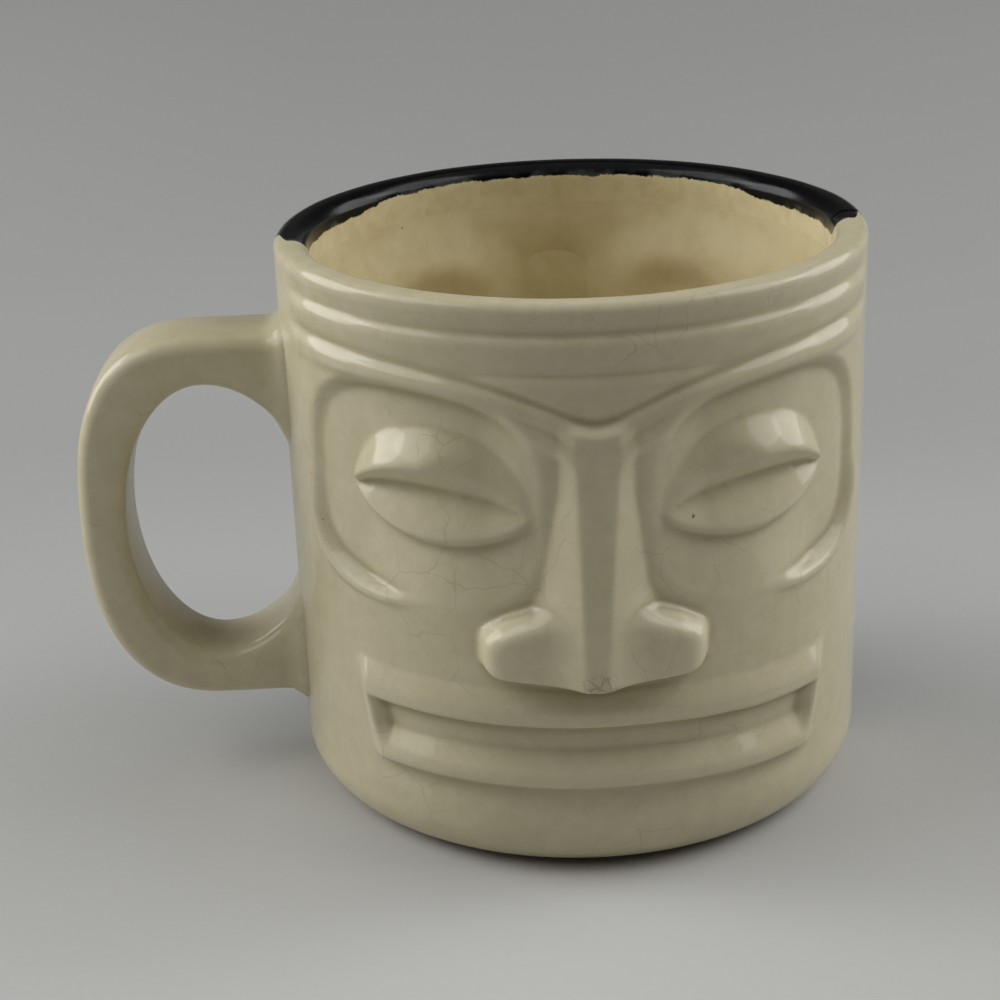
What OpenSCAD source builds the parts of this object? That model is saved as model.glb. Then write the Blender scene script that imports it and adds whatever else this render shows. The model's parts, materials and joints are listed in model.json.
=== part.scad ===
// Two-tone tiki mug: a plain clay cup, a glazed liner, two moulded face layers and a strap handle.
// Origin: centre of the foot, on the surface that the mug stands on. +Z up, the ivory face looks
// along -Y, the handle is on the -X side. Millimetres.

/* [Cup] */
// outer diameter at the rim
rim_d = 88; // [72:0.5:108]
// how much narrower the cup is at the table than at the rim, as a diameter
base_taper = 1; // [0:0.25:8]
// height from the table to the top of the rim
cup_h = 86.3; // [70:0.1:106]
// whole wall at its thinnest, from the plain outer surface to the drinking surface
wall_t = 4.5; // [3.8:0.1:7]
// thickness of a moulded face layer where it is plain
layer_t = 2.6; // [2.3:0.1:3.2]
// thickness of the liner glaze
liner_t = 0.4; // [0.2:0.05:0.8]
// thickness of the floor with its liner
floor_t = 6.5; // [5:0.1:10]
// radius between the inner wall and the floor
floor_round = 7; // [4:0.5:10]
// radius of the rounded base edge
base_round = 8; // [6.5:0.25:10]

/* [Foot] */
// diameter of the recess inside the foot ring
recess_d = 60; // [48:0.5:64]
// depth of the recess inside the foot ring
recess_depth = 1.6; // [1:0.1:2.5]
// height where the glazed layers stop above the table
glaze_line = 1.2; // [1:0.1:2]

/* [Rim] */
// radius of the rim's outer edge
lip_out_r = 1.6; // [1:0.1:2]
// radius of the rim's inner edge
lip_in_r = 2.4; // [1.5:0.1:2.8]
// how far the face layers reach down inside the rim
inner_band = 6.3; // [4:0.1:12]

/* [Handle] */
// how far the handle stands out from the rim
handle_out = 31.9; // [24:0.1:42]
// distance from the rim down to the top of the handle
handle_drop = 13.9; // [8:0.1:20]
// height of the handle's underside above the table
handle_lift = 14.6; // [12:0.1:22]
// thickness of the strap at its outermost point
strap_t = 6.9; // [5:0.1:9]
// depth of the strap, front to back
strap_depth = 15; // [10:0.5:20]
// radius of the strap's long edges
strap_edge_r = 2.4; // [1:0.1:2.4]

/* [Face] */
// how far the nose tip stands out
nose_out = 6.5; // [3:0.1:9]
// how far the nose wings stand out
wing_out = 4.2; // [2:0.1:6]
// how far the lips stand out
lips_out = 1.5; // [0.6:0.1:2.5]
// how far the brow ridge stands out
brow_out = 0.75; // [0.4:0.05:2]
// depth of the eye sockets
socket_depth = 1.9; // [0.6:0.1:1.9]
// how far the eyelids stand out from the socket floor
lid_out = 3.3; // [1:0.1:4]
// depth of the headband grooves
band_depth = 0.7; // [0.3:0.1:1.5]

/* [Hidden] */
rim_r = rim_d / 2;
base_r = rim_r - base_taper / 2;
cavity_r = base_r - wall_t;
clay_in_r = cavity_r + liner_t;
clay_out_r = base_r - layer_t;
clay_top = cup_h - 3.5;
band_low = cup_h - inner_band;
ledge_r = base_r - base_round + 1.5;
shoulder_z = base_round + 1;

// The face is laid out on the surface: u is the distance round the mug from the face's middle,
// towards +X, and z is the height. Both stretch with the cup's size.
design_r = 44;
design_h = 86.3;
col_step = 3;
cols = 180 / col_step;
outward = 1 / cos(col_step / 2);
row_step = 1.2;
relief_low = 12;
relief_high = 84.4;
relief_rows = round((relief_high - relief_low) / row_step);
base_rows = 5;
edge_steps = 4;

// headband and brow
groove_top_z = 82.1;
groove_low_z = 76.4;
shoulder_h = 1.5;
band_slope = 1.1;
plate_slope = 0.5;
brow_z = 77;
brow_dip = 7.7;
brow_w = 13;
brow_edge = 1.5;
brow_ridge_w = 2.2;
brow_ridge_more = 1.2;
brow_fade_u = 42;
brow_middle = 0.4;
second_u = [4, 18, 30];
second_drop = [5.6, 3.3];
second_half = 1.8;
second_share = 0.85;
strip_u = 51;
strip_fade = 5;
// eye
eye_u = 24.3;
eye_z = 56.3;
eye_half = 15.3;
eye_tilt = 0.03;
lid_up = 11.2;
lid_down = 6.2;
lid_edge = 5.3;
slit_rise = 1.9;
slit_share = 0.2;
lid_peak_u = 27;
lid_peak_w = 18.8;
facet_slope = 0.25;
lower_share = 0.56;
lower_edge = 0.78;
socket_u = 28;
socket_z = 57.5;
socket_a = 21.3;
socket_b = 16.2;
socket_steep = [0.84, 0.90];
socket_nose_u = [6, 17];
socket_cheek_u = [22, 41];
socket_cheek_z = [41, 57];
// nose
nose_top_z = 66;
nose_tip_z = 36;
nose_low_z = 31.7;
nose_root_out = 1.5;
nose_lean = -0.8;
nose_half_w = [9.2, 7.4, 5];
nose_half_z = [41, 46, 60];
nose_flat_w = [1.1, 3];
wing_z = 37;
wing_half = 16.2;
wing_up = 5.3;
wing_drop = 1.6;
wing_u = [7, 15.5];
under_rise = 1;
// mouth
lip_top_z = 30.4;
lip_shoulder_z = 27.2;
mouth_top_z = 24.6;
mouth_low_z = 20.7;
lip_front_z = 17.3;
lip_low_z = 15.2;
mouth_half = 40.3;
frame_lean = 0.24;
frame_fade = 3.2;
mouth_end = 36.8;
mouth_lean = 0.3;
mouth_wall = 2.3;
mouth_depth = 0.75;
mouth_sag = 1.1;
chin_z = 13;
chin_half = 2.6;
chin_depth = 0.3;
// cheek ridge below the socket
cheek_out = 0.8;
cheek_w = 1.8;
cheek_tip_u = 26;
cheek_tail = 7;
cheek_high_z = [49, 57];

function clamp(x) = min(1, max(0, x));
function ramp(a, b, x) = let(t = clamp((x - a) / (b - a))) t * t * (3 - 2 * t);
function line(a, b, x) = clamp((x - a) / (b - a));
function bump(x, w) = abs(x) < w ? (1 + cos(180 * x / w)) / 2 : 0;
function blend(a, b, t) = a + (b - a) * t;
// the higher of two heights above 0, with a fillet of size k between them
function soft_max(a, b, k) =
    let(f = k * min(1, a, b), t = f > 0 ? clamp(0.5 + 0.5 * (a - b) / f) : 0)
    f > 0 ? blend(b, a, t) + f * t * (1 - t) : max(a, b);

// the groove that divides the headband from the brow dips to a point over the nose
function brow_line(u) = brow_z - brow_dip * exp(-pow(u / brow_w, 1.3));

// Each band is proud just under the groove above it and slopes in to the groove below.
function shoulder(top, z) = blend(-band_depth, 0.2, ramp(top, top - shoulder_h, z));
function bands(z) =
    z > groove_top_z
        ? -band_depth * line(relief_high, groove_top_z, z)
    : z > groove_low_z
        ? shoulder(groove_top_z, z)
            - band_slope * band_depth * line(groove_top_z - shoulder_h, groove_low_z, z)
    : shoulder(groove_low_z, z)
        - plate_slope * band_depth * line(groove_low_z - shoulder_h, brow_z - brow_dip, z);
function headband(u, z) = blend(bands(z), -band_depth, ramp(brow_edge, 0, z - brow_line(u)));

// the ridge under the groove, and a second one that runs down into the side of the nose
function brow(u, z) =
    let(
        d = brow_line(u) - z,
        crest = brow_out * (1 - 0.7 * ramp(brow_fade_u, strip_u, u)) * blend(brow_middle, 1, ramp(2, 20, u)),
        wide = brow_ridge_w + brow_ridge_more * line(20, 45, u),
        middle = blend(second_drop[0], second_drop[1], line(second_u[0], second_u[1], u))
    )
    blend(-band_depth, crest, ramp(0, brow_edge, d)) * (1 - ramp(wide, wide + brow_edge, d))
        + second_share * brow_out * bump(d - middle, second_half)
            * (1 - ramp(second_u[1], second_u[2], u)) * ramp(1.5, 4.5, u);

function socket_reach(u, z) =
    pow(pow(abs(u - socket_u) / socket_a, 3) + pow(abs(z - socket_z) / socket_b, 3), 1 / 3);
// steep at the temple, and running out smoothly towards the cheek and the nose
function socket(u, z) =
    let(
        cheek = (1 - ramp(socket_cheek_u[0], socket_cheek_u[1], u))
            * (1 - ramp(socket_cheek_z[0], socket_cheek_z[1], z)),
        inner = ramp(socket_nose_u[0], socket_nose_u[1], u) * (1 - cheek),
        steep = blend(socket_steep[1], socket_steep[0], line(48, 60, z))
    )
    -socket_depth * inner * (1 - ramp(steep, 1, socket_reach(u, z)));
function cheek_ridge(u, z) =
    let(
        way = (socket_reach(u, z) - 1) * (socket_a + socket_b) / 2,
        tail = ramp(cheek_tip_u, cheek_tip_u + cheek_tail, u)
    )
    z > socket_z ? 0
    : cheek_out * bump(way - cheek_w / 2, cheek_w * blend(0.35, 1, tail)) * tail
        * (1 - ramp(cheek_high_z[0], cheek_high_z[1], z));

// Two lids meet at a slit. The upper one has a thick edge and a flat inner flank.
function flank(u, high) =
    facet_slope * (u - eye_u + eye_half * sqrt(max(0, 1 - pow(high / lid_up, 2))));
function eye_shape(u, z, arch) =
    let(
        root = sqrt(arch),
        mid = eye_z + eye_tilt * (u - eye_u),
        top = mid + lid_up * root,
        bottom = mid - lid_down * pow(root, 1.4),
        edge = mid + lid_edge * arch,
        slit = mid + slit_rise * arch,
        body = lid_out * (1 - pow(abs(u - lid_peak_u) / lid_peak_w, 2.4)) * pow(root, 0.55),
        upper = min(body, flank(u, edge - mid)),
        deep = slit_share * upper,
        low = line(slit, bottom, z)
    )
    z <= bottom || z >= top ? 0
    : z > edge ? min(body * (top - z) / (top - edge), flank(u, z - mid))
    : z > slit ? blend(deep, upper, ramp(slit, edge, z))
    : blend(deep, lower_share * lid_out * root, ramp(-0.25, lower_edge, low)) * (1 - ramp(lower_edge, 1, low));
function eye(u, z) =
    let(arch = 1 - pow((u - eye_u) / eye_half, 2))
    arch > 0 ? eye_shape(u, z, arch) : 0;

// A flat-fronted ridge that spreads at the foot into two squarish wings.
function nose_half(z) =
    z > nose_half_z[1]
        ? blend(nose_half_w[1], nose_half_w[2], line(nose_half_z[1], nose_half_z[2], z))
        : blend(nose_half_w[0], nose_half_w[1], line(nose_half_z[0], nose_half_z[1], z));
function nose_flat(z) = blend(nose_flat_w[0], nose_flat_w[1], pow(line(nose_low_z, nose_top_z, z), 1.2));
function nose_ridge(u, z) =
    blend(nose_out, nose_root_out, line(nose_tip_z, nose_top_z, z))
        * (1 - line(nose_flat(z), nose_half(z), u))
        * (1 - ramp(nose_top_z + 0.5, nose_top_z + 4, z));
function nose_wing(u, z) =
    let(high = blend(wing_up + wing_drop, wing_up - wing_drop, line(wing_u[0], wing_u[1], u)))
    z > wing_z + high || u > wing_half ? 0
    : blend(0.95 * nose_out, wing_out, line(nose_flat(z), wing_half - 3, u))
        * pow(1 - pow(u / wing_half, 5), 0.7)
        * pow(1 - pow(max(0, (z - wing_z) / high), 2.2), 0.75);
function nose(u, z) =
    let(low = nose_low_z + under_rise * line(2, wing_u[1], u))
    z < low - 0.4 || z > brow_line(u) ? 0
    : soft_max(nose_ridge(u, z), nose_wing(u, z), 3) * sqrt(line(low - 0.4, low + 1, z));

// a frame of two lips round a hollow with slanted ends
function mouth_hollow(u, z) =
    let(inside = mouth_end - mouth_lean * (mouth_top_z - z))
    (lips_out + mouth_depth)
        * ramp(mouth_top_z + 0.4, mouth_top_z - 0.4, z)
        * line(lip_front_z, mouth_low_z, z)
        * (1 - line(inside - mouth_wall, inside, u));
function mouth(u, z) =
    let(end = mouth_half - frame_lean * (lip_top_z - z))
    lips_out * line(lip_top_z, lip_shoulder_z, z) * line(lip_low_z - 0.5, lip_low_z + 0.5, z)
            * (1 - ramp(end - frame_fade, end + 0.5, u))
        - chin_depth * bump(z - chin_z, chin_half) * (1 - ramp(30, brow_fade_u, u))
        - mouth_hollow(u, z);

// height of the face over the plain wall; across is signed, and right of the middle the mouth sags
function relief(across, z) =
    let(u = abs(across), lean = nose_lean * line(nose_top_z, nose_tip_z, z))
    u > strip_u + strip_fade || z > relief_high ? 0
    : (1 - ramp(strip_u, strip_u + strip_fade, u)) * (
        z > brow_line(u) ? headband(u, z)
        : socket(u, z) + eye(u, z) + brow(u, z) + cheek_ridge(u, z) + nose(abs(across - lean), z)
            + mouth(u, z + mouth_sag * ramp(4, 34, across))
    );

// the plain outer surface: a slight cone with a rounded base edge
function cone_r(z) = base_r + (rim_r - base_r) * z / cup_h;
function skin_r(z) =
    z < base_round
        ? cone_r(z) - base_round + sqrt(base_round * base_round - pow(base_round - z, 2))
        : cone_r(z);

function arc(cx, cz, r, a0, a1, n) =
    [for (i = [0:n]) let(a = a0 + (a1 - a0) * i / n) [cx + r * cos(a), cz + r * sin(a)]];

stretch_z = design_h / cup_h;
rows_z = concat(
    [for (i = [0:base_rows]) glaze_line + (base_round - glaze_line) * pow(i / base_rows, 1.5)],
    [for (i = [0:relief_rows]) (relief_low + (relief_high - relief_low) * i / relief_rows) / stretch_z]
);
rim_edge = concat(
    arc(rim_r - lip_out_r, cup_h - lip_out_r, lip_out_r, 0, 90, edge_steps),
    arc(cavity_r + lip_in_r, cup_h - lip_in_r, lip_in_r, 90, 180, edge_steps),
    [[cavity_r, band_low]]
);
// what faces the clay cup, from the foot up; the second value says that a side faces inwards
clay_side = [
    [ledge_r, glaze_line, true],
    [clay_out_r, shoulder_z, true],
    [clay_out_r, clay_top, true],
    [clay_in_r, clay_top, false],
    [clay_in_r, band_low, false]
];
skin_n = len(rows_z);
front_n = skin_n + len(rim_edge);
ring_n = front_n + len(clay_side);

function ring(angle) =
    let(u = (90 - angle) * PI / 180 * design_r)
    concat(
        [for (z = rows_z) let(r = skin_r(z) + relief(u, z * stretch_z)) [r * cos(angle), -r * sin(angle), z]],
        [for (p = rim_edge) [p[0] * cos(angle), -p[0] * sin(angle), p[1]]],
        [for (i = [len(clay_side) - 1:-1:0])
            let(p = clay_side[i], r = p[0] * (p[2] ? outward : 1)) [r * cos(angle), -r * sin(angle), p[1]]]
    );

function flipped(f) = [for (t = f) [t[2], t[1], t[0]]];
// the end of a layer, as triangles from the skin to the nearest corner facing the clay
function end_faces(first) =
    let(
        corner = [for (k = [0:len(clay_side) - 1]) first + ring_n - 1 - k],
        reach = [for (k = [0:front_n - 1])
            k < base_rows ? 0
            : k < skin_n / 2 ? 1
            : k < skin_n + edge_steps + 1 ? 2
            : k < front_n - 1 ? 3 : 4]
    )
    concat(
        [for (k = [0:front_n - 2]) [first + k, corner[reach[k]], first + k + 1]],
        [for (k = [0:front_n - 2])
            if (reach[k + 1] > reach[k]) [first + k + 1, corner[reach[k]], corner[reach[k + 1]]]]
    );

module face_layer() {
    points = [for (c = [0:cols]) each ring(c * col_step)];
    sides = [for (c = [0:cols - 1], k = [0:ring_n - 1])
        let(
            a = c * ring_n + k,
            b = c * ring_n + (k + 1) % ring_n,
            swap = c < cols / 2,
            d = a + ring_n,
            e = b + ring_n
        )
        each (swap ? [[a, d, b], [b, d, e]] : [[a, e, b], [a, d, e]])];
    polyhedron(
        points = points,
        faces = concat(flipped(sides), flipped(end_faces(0)), end_faces(cols * ring_n)),
        convexity = 10
    );
}

// ---- handle ----
strap_up = strap_t + 0.3;
strap_down = strap_t + 0.1;
gap_b = (cup_h - handle_drop - handle_lift - strap_up - strap_down) / 2;
gap_z = handle_lift + strap_down + gap_b;
gap_mid_out = 12;
gap_in_x = rim_r + gap_mid_out;
strap_a = handle_out - gap_mid_out;
gap_a = strap_a - strap_t;
gap_flare = 15.5;
corner_up = 2.7;
corner_down = 2.35;
arch_steps = 26;
root_steps = 4;
root_in = 3;
corner_steps = 3;
root_len = gap_in_x - cone_r(gap_z) + root_in;

function sgn_pow(v, p) = sign(v) * pow(abs(v), p);
// pairs of points, on the finger gap and on the strap's outside, in the plane of the handle
function arch_pair(a) =
    let(up = sin(a) > 0, n = up ? corner_up : corner_down, b = gap_b + (up ? strap_up : strap_down))
    [
        [-gap_in_x + gap_a * cos(a), gap_z + gap_b * sin(a)],
        [-gap_in_x + strap_a * sgn_pow(cos(a), 2 / n), gap_z + b * sgn_pow(sin(a), 2 / n)]
    ];
function root_pair(x, up) =
    [
        [-gap_in_x + x, gap_z + up * gap_b * sqrt(1 - pow(x / gap_flare, 2))],
        [-gap_in_x + x, gap_z + up * (gap_b + (up > 0 ? strap_up : strap_down))]
    ];
strap_pairs = concat(
    [for (i = [root_steps:-1:1]) root_pair(root_len * i / root_steps, 1)],
    [for (i = [0:arch_steps]) arch_pair(90 + 180 * i / arch_steps)],
    [for (i = [1:root_steps]) root_pair(root_len * i / root_steps, -1)]
);
// one rounded rectangle across the strap
function strap_ring(pair) =
    let(
        span = norm(pair[1] - pair[0]),
        dir = (pair[1] - pair[0]) / span,
        half = strap_depth / 2,
        mid = (pair[0] + pair[1]) / 2,
        outline = [for (q = [0:3], i = [0:corner_steps])
            let(
                a = 90 * q + 90 * i / corner_steps,
                sx = q == 0 || q == 3 ? 1 : -1,
                sy = q < 2 ? 1 : -1
            )
            [sx * (span / 2 - strap_edge_r) + strap_edge_r * cos(a), sy * (half - strap_edge_r) + strap_edge_r * sin(a)]]
    )
    [for (p = outline) [mid[0] + dir[0] * p[0], p[1], mid[1] + dir[1] * p[0]]];

module strap() {
    n = 4 * (corner_steps + 1);
    rings = len(strap_pairs);
    polyhedron(
        points = [for (p = strap_pairs) each strap_ring(p)],
        faces = concat(
            [for (r = [0:rings - 2], k = [0:n - 1])
                let(a = r * n + k, b = r * n + (k + 1) % n)
                each [[a, b, b + n], [a, b + n, a + n]]],
            [[for (k = [n - 1:-1:0]) k]],
            [[for (k = [0:n - 1]) (rings - 1) * n + k]]
        ),
        convexity = 6
    );
}

module clay_cup() {
    color([0.78, 0.70, 0.58])
    difference() {
        rotate_extrude($fn = 120)
        polygon(concat(
            [[0, 0]],
            arc(base_r - base_round, base_round, base_round,
                -90, -90 + acos((base_round - glaze_line) / base_round), 3),
            [[ledge_r, glaze_line], [clay_out_r, shoulder_z], [clay_out_r, clay_top], [clay_in_r, clay_top]],
            arc(clay_in_r - floor_round, floor_t - liner_t + floor_round, floor_round, 0, -90, 8),
            [[0, floor_t - liner_t]]
        ));
        translate([0, 0, -1])
        cylinder(h = recess_depth + 1, d = recess_d, $fn = 120);
    }
}

module liner_glaze() {
    color([0.62, 0.47, 0.30])
    rotate_extrude($fn = 120)
    polygon(concat(
        [[0, floor_t - liner_t]],
        arc(clay_in_r - floor_round, floor_t - liner_t + floor_round, floor_round, -90, 0, 8),
        [[clay_in_r, band_low], [cavity_r, band_low]],
        arc(cavity_r - floor_round + liner_t, floor_t + floor_round - liner_t,
            floor_round - liner_t, 0, -90, 8),
        [[0, floor_t]]
    ));
}

module ivory_face() {
    color([0.86, 0.82, 0.71])
    face_layer();
}

module black_face() {
    color([0.06, 0.06, 0.07])
    rotate([0, 0, 180])
    face_layer();
}

module handle() {
    color([0.84, 0.80, 0.68])
    difference() {
        strap();
        cylinder(h = cup_h, r1 = base_r, r2 = rim_r, $fn = 120);
    }
}

clay_cup();
liner_glaze();
ivory_face();
black_face();
handle();
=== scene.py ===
"""Finished look of a two-tone tiki mug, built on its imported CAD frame."""
import json
import math

import bmesh
import bpy
from bpy.props import FloatProperty, FloatVectorProperty, IntProperty, PointerProperty
from mathutils import Matrix, Vector, noise

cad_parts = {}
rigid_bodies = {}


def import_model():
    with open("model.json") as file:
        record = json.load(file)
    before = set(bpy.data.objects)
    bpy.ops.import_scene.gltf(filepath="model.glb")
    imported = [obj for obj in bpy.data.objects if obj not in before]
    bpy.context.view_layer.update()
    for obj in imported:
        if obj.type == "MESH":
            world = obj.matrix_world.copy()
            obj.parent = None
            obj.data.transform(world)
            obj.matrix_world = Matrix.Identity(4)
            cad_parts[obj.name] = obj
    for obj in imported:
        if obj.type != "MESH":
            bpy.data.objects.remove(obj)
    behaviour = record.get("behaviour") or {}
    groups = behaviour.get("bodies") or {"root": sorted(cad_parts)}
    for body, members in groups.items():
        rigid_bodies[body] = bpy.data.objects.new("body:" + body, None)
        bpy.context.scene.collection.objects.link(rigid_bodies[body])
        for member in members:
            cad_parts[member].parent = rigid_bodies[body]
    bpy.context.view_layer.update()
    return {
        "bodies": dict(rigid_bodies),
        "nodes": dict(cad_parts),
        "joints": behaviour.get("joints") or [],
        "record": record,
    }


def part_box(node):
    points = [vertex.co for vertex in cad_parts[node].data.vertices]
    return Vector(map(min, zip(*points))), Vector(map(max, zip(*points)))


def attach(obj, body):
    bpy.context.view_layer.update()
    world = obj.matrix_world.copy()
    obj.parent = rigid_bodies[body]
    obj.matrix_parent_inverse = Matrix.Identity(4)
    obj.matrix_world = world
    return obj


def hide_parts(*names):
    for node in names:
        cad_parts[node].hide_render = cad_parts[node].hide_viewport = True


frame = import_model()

bl_info = {
    "name": "Two-tone tiki mug",
    "version": (1, 0, 0),
    "blender": (4, 5, 0),
    "location": "View3D > Sidebar > Tiki mug",
    "description": "Moulded face layers, liner, foot and strap handle of a glazed tiki mug",
    "category": "Add Mesh",
}

MM = 0.001
FACE_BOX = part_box("ivory_face")
CUP_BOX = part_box("clay_cup")
LINER_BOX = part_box("liner_glaze")
STRAP_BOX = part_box("handle")

# The face is laid out in millimetres on the plain wall: u runs round the mug from the middle of
# the face, positive towards the viewer's right, and z is the height above the table.
LAYOUT_R = 44.0
LAYOUT_H = 86.3
# headband and brow
BAND_TOP = 84.4
GROOVE_TOP = 82.1
GROOVE_LOW = 76.4
BROW_Z = 77.0
BROW_DIP = 7.7
BROW_SPREAD = 13.0
BROW_RIDGE = 1.9
V_GROOVE = 0.85
STRIP_U = 51.0
STRIP_FADE = 5.0
# eyes
EYE_U = 24.3
EYE_Z = 56.3
EYE_HALF = 15.3
EYE_TILT = 0.03
LID_UP = 11.2
LID_DOWN = 6.2
LID_EDGE = 5.9
SLIT = 1.9
LID_PEAK = 27.0
FACET_SLOPE = 0.25
SOCKET_U = 28.0
SOCKET_Z = 57.5
SOCKET_A = 21.3
SOCKET_B = 16.2
# nose
NOSE_TOP = 66.0
NOSE_TIP = 36.0
NOSE_MID = 46.0
NOSE_LOW = 31.7
NOSE_ROOT = 1.1
NOSE_LEAN = -0.8
WING_Z = 37.0
WING_HALF = 17.0
WING_UP = 5.3
# mouth
LIP_TOP = 30.4
LIP_SHOULDER = 27.2
MOUTH_TOP = 24.6
MOUTH_LOW = 20.7
LIP_FRONT = 17.3
LIP_LOW = 15.2
MOUTH_HALF = 40.3
MOUTH_END = 36.8
MOUTH_DEEP = 0.75
MOUTH_SAG = 1.1
# the inner wall follows the face a little higher up, and only so far in and out
WAVE_LIFT = 2.5
WAVE_IN = 1.6
WAVE_OUT = 0.8
# cheek ridge under the socket
CHEEK_TIP = 26.0
CHEEK_W = 1.4
CHEEK_OUT = 0.65
# small roundings of the plain shapes, in metres
RIM_ROUND_OUT = 1.6 * MM
RIM_ROUND_IN = 2.4 * MM
LEDGE_IN = 1.5 * MM
LEDGE_UP = 1 * MM
RECESS_ROUND = 0.7 * MM
FOOT_ROUND = 0.45 * MM
ROW_STEP = 0.45 * MM
# small touches of colour
IRON = (0.02, 0.015, 0.01)
PINHOLE = (0.03, 0.02, 0.01)
BLACK_CLOUD = (0.007, 0.007, 0.009)
# painted highlight for the ridges of the black face
BLACK_RIDGE_HIGHLIGHT = (0.035, 0.027, 0.02)
CLAY_DARK = (0.44, 0.33, 0.21)
CLAY_SAND = (0.62, 0.52, 0.38)
CLAY_IRON = (0.11, 0.06, 0.03)
FOOT_SCUFF = (0.22, 0.18, 0.14)
# the backdrop's sizes, in metres
SWEEP_HALF = 1.6
SWEEP_FRONT = -2.2
SWEEP_BACK = 0.25
SWEEP_CURVE = 0.5
SWEEP_END = (0.80, 2.4)


# ---- small curves ----

def clamp(x):
    return min(1.0, max(0.0, x))


def line(a, b, x):
    """0 at a, 1 at b, straight between."""
    return clamp((x - a) / (b - a))


def ramp(a, b, x):
    """0 at a, 1 at b, easing at both ends."""
    t = line(a, b, x)
    return t * t * (3 - 2 * t)


def blend(a, b, t):
    return a + (b - a) * t


def bump(x, half):
    return (1 + math.cos(math.pi * x / half)) / 2 if abs(x) < half else 0.0


def soft_max(a, b, k):
    """The higher of two heights above 0, with a fillet of size k between them."""
    k *= min(1.0, a, b)
    if k <= 0:
        return max(a, b)
    t = clamp(0.5 + 0.5 * (a - b) / k)
    return blend(b, a, t) + k * t * (1 - t)


# ---- the moulded face ----

def brow_line(u):
    return BROW_Z - BROW_DIP * math.exp(-((u / BROW_SPREAD) ** 1.3))


def headband(u, z, deep):
    """Each band is proud just under a groove and slopes in to the next one."""
    if z > GROOVE_TOP:
        bands = -deep * line(BAND_TOP, GROOVE_TOP, z)
    elif z > GROOVE_LOW:
        shoulder = ramp(GROOVE_TOP, GROOVE_TOP - 1.5, z)
        bands = blend(-deep, 0.25, shoulder) - 1.1 * deep * line(GROOVE_TOP - 2.1, GROOVE_LOW, z)
    else:
        shoulder = ramp(GROOVE_LOW, GROOVE_LOW - 1.4, z)
        crease = 0.14 * bump(z - blend(75.0, 72.8, line(17, 0, u)), 0.8)
        bands = blend(-V_GROOVE * deep, 0.1, shoulder) - 0.5 * deep * line(74.8, 70.0, z) - crease
    return blend(bands, -V_GROOVE * deep, ramp(1.3, 0.1, z - brow_line(u)))


def brow(u, z, deep, out):
    """The ridge under the V, and a second one that runs down into the side of the nose."""
    d = brow_line(u) - z
    crest = out * (1 - 0.7 * ramp(42, STRIP_U, u)) * (0.4 + 0.6 * ramp(2, 20, u))
    wide = blend(BROW_RIDGE, BROW_RIDGE + 1.2, line(20, 45, u))
    ridge = blend(-V_GROOVE * deep, crest, ramp(0.1, 1.5, d)) * (1 - ramp(wide, wide + 1.4, d))
    middle = blend(5.6, 3.3, line(4, 18, u))
    second = 0.85 * out * bump(d - middle, 1.8) * (1 - ramp(18, 30, u)) * ramp(1.5, 4.5, u)
    return ridge + second


def socket_reach(u, z):
    return ((abs(u - SOCKET_U) / SOCKET_A) ** 3 + (abs(z - SOCKET_Z) / SOCKET_B) ** 3) ** (1 / 3)


def socket(u, z, reach, deep):
    """The hollow is steep at the temple and runs out smoothly towards the cheek and the nose."""
    cheek = (1 - ramp(22, 41, u)) * (1 - ramp(41, 57, z))
    inner = ramp(6.0, 17.0, u) * (1 - cheek)
    steep = blend(0.92, 0.88, line(48, 60, z))
    temple = 1 - 0.4 * ramp(36, 48, u)
    return -deep * inner * temple * (1 - ramp(steep, 1.0, reach))


def cheek_ridge(u, z, reach):
    if z > SOCKET_Z:
        return 0.0
    way = (reach - 1) * (SOCKET_A + SOCKET_B) / 2
    tail = ramp(CHEEK_TIP, CHEEK_TIP + 7, u)
    half = CHEEK_W * (0.35 + 0.65 * tail)
    return CHEEK_OUT * bump(way - 0.5 * CHEEK_W, half) * tail * (1 - ramp(49, 57, z))


def facet(u, high):
    """The flat inner flank of the upper lid, rising from its outline towards the temple."""
    half = EYE_HALF * math.sqrt(max(0.0, 1 - (high / LID_UP) ** 2))
    return FACET_SLOPE * (u - EYE_U + half)


def eye(u, z, out):
    """Two lids meet at a slit; the upper one has a thick edge and a flat inner flank."""
    side = (u - EYE_U) / EYE_HALF
    if abs(side) >= 1:
        return 0.0
    arch = 1 - side * side
    root = math.sqrt(arch)
    mid = EYE_Z + EYE_TILT * (u - EYE_U)
    top = mid + LID_UP * root
    bottom = mid - LID_DOWN * root ** 1.4
    edge = mid + LID_EDGE * arch
    slit = mid + SLIT * arch
    if z <= bottom or z >= top:
        return 0.0
    body = out * (1 - abs((u - LID_PEAK) / (EYE_HALF + 3.5)) ** 2.4) * root ** 0.55
    if z > edge:
        rise = (top - z) / (top - edge)
        lid = body * (0.6 * rise + 0.4 * ramp(-0.15, 1.0, rise))
        return min(lid, facet(u, z - mid))
    upper = min(body, facet(u, edge - mid))
    deep = -0.12 * upper
    if z > slit:
        under = (z - slit) / (edge - slit)
        return blend(deep, upper, under ** 0.85)
    low = (slit - z) / (slit - bottom)
    swell = 0.56 * out * root ** 0.9
    return blend(deep, swell, ramp(-0.25, 0.8, low)) * (1 - ramp(0.78, 1.0, low))


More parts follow.
